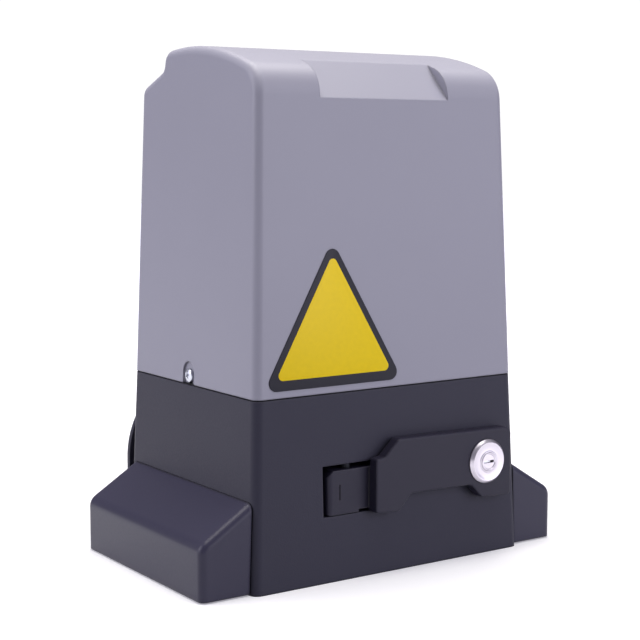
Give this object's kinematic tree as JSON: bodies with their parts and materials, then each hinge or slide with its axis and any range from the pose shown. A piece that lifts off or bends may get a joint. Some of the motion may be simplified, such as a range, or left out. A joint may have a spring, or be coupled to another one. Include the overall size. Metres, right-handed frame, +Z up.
{
  "type": "sliding gate motor",
  "caption": "Upright rack-and-pinion drive unit for a sliding gate, with a moulded hood on a cast body, a release lever with a lock, and a pinion at the back.",
  "frame": {"origin": "centre of the body's footprint, on the floor, midway between the four slots in the mounting ears", "axes": "+Z up, front with the release lever towards -Y, output pinion towards +Y, +X to the right seen from the front"},
  "size_m": [0.287, 0.239, 0.343],
  "materials": {
    "black": "black moulded plastic",
    "board": "solder-masked glass fibre board",
    "bronze": "tin bronze",
    "can": "white moulded can",
    "cast": "powder-coated die-cast aluminium",
    "chrome": "chromed zinc alloy",
    "copper": "enamelled copper wire",
    "foot": "moulded ABS, fine grain",
    "hood": "moulded ABS, fine matt grain",
    "laminations": "stacked silicon steel",
    "lever": "moulded glass-filled nylon",
    "raw_cast": "as-cast aluminium",
    "relay": "blue relay case",
    "rubber": "black rubber",
    "steel": "machined steel",
    "terminal": "green terminal block",
    "zinc": "zinc-plated steel"
  },
  "bodies": {
    "body": {"base_housing": "cast", "cover_screws": "zinc", "seam_gasket": "rubber", "left_foot_cover": "foot", "right_foot_cover": "foot", "gearbox_housing": "raw_cast", "gearbox_end_cover": "cast", "end_cover_screws": "zinc", "front_bearing": "steel", "rear_bearing": "steel", "output_seal": "rubber", "worm_tail_bearing": "steel", "lever_pin": "steel", "motor_lower_bell": "raw_cast", "motor_upper_bell": "raw_cast", "stator_core": "laminations", "stator_windings": "copper", "motor_lower_bearing": "steel", "motor_upper_bearing": "steel", "motor_bolts": "zinc", "capacitor": "can", "capacitor_clamp": "black", "control_bracket": "zinc", "board_standoffs": "zinc", "control_board": "board", "transformer": "laminations", "relays": "relay", "terminal_block": "terminal", "fuse_holder": "black", "microcontroller": "black", "limit_switch_body": "black", "cable_grommet": "rubber"},
    "hood": {"upper_cover": "hood"},
    "rotor": {"motor_shaft": "steel", "rotor_core": "laminations", "worm": "steel"},
    "wheel": {"worm_wheel_rim": "bronze", "worm_wheel_hub": "steel"},
    "output": {"output_shaft": "steel", "pinion": "steel", "pinion_key": "steel", "pinion_washer": "zinc", "pinion_bolt": "zinc", "spring_collar": "steel", "clutch_spring": "steel"},
    "clutch": {"clutch_sleeve": "steel", "clutch_push_rod": "steel", "clutch_cross_pin": "steel"},
    "lever": {"release_lever": "lever", "lock_body": "chrome", "lock_nut": "zinc"},
    "lock": {"lock_plug": "chrome", "lock_cam": "zinc"},
    "limit_wand": {"limit_spring": "steel", "limit_tip": "black"}
  },
  "joints": [
    {"name": "hood_lift", "type": "slide", "parent": "body", "child": "hood", "axis": [0, 0, 1], "range_m": [0, 0.24]},
    {"name": "rotor_spin", "type": "hinge", "parent": "body", "child": "rotor", "pos_m": [0.02, 0.008, 0.055], "axis": [0, 0, 1], "continuous": true},
    {"name": "wheel_spin", "type": "hinge", "parent": "body", "child": "wheel", "pos_m": [-0.034, 0.008, 0.055], "axis": [0, 1, 0], "continuous": true},
    {"name": "output_spin", "type": "hinge", "parent": "body", "child": "output", "pos_m": [-0.034, 0.1, 0.055], "axis": [0, 1, 0], "continuous": true},
    {"name": "clutch_slide", "type": "slide", "parent": "output", "child": "clutch", "axis": [0, 1, 0], "range_m": [0, 0.0083], "deforming": ["clutch_spring"]},
    {"name": "release_lever", "type": "hinge", "parent": "body", "child": "lever", "pos_m": [-0.034, -0.076, 0.06], "axis": [0, 0, -1], "range_deg": [0, 90]},
    {"name": "lock_turn", "type": "hinge", "parent": "lever", "child": "lock", "pos_m": [0.0725, -0.09, 0.066], "axis": [0, 1, 0], "range_deg": [0, 90]},
    {"name": "limit_swing", "type": "hinge", "parent": "body", "child": "limit_wand", "pos_m": [-0.062, 0.07, 0.136], "axis": [0, 0, 1], "range_deg": [-30, 30], "stiffness_Nm_per_rad": 0.05}
  ],
  "couplings": [
    {"joint": "wheel_spin", "follows": "rotor_spin", "ratio": 0.03125},
    {"joint": "output_spin", "follows": "rotor_spin", "ratio": 0.03125},
    {"joint": "clutch_slide", "follows": "release_lever", "m_per_rad": 0.0052839}
  ]
}
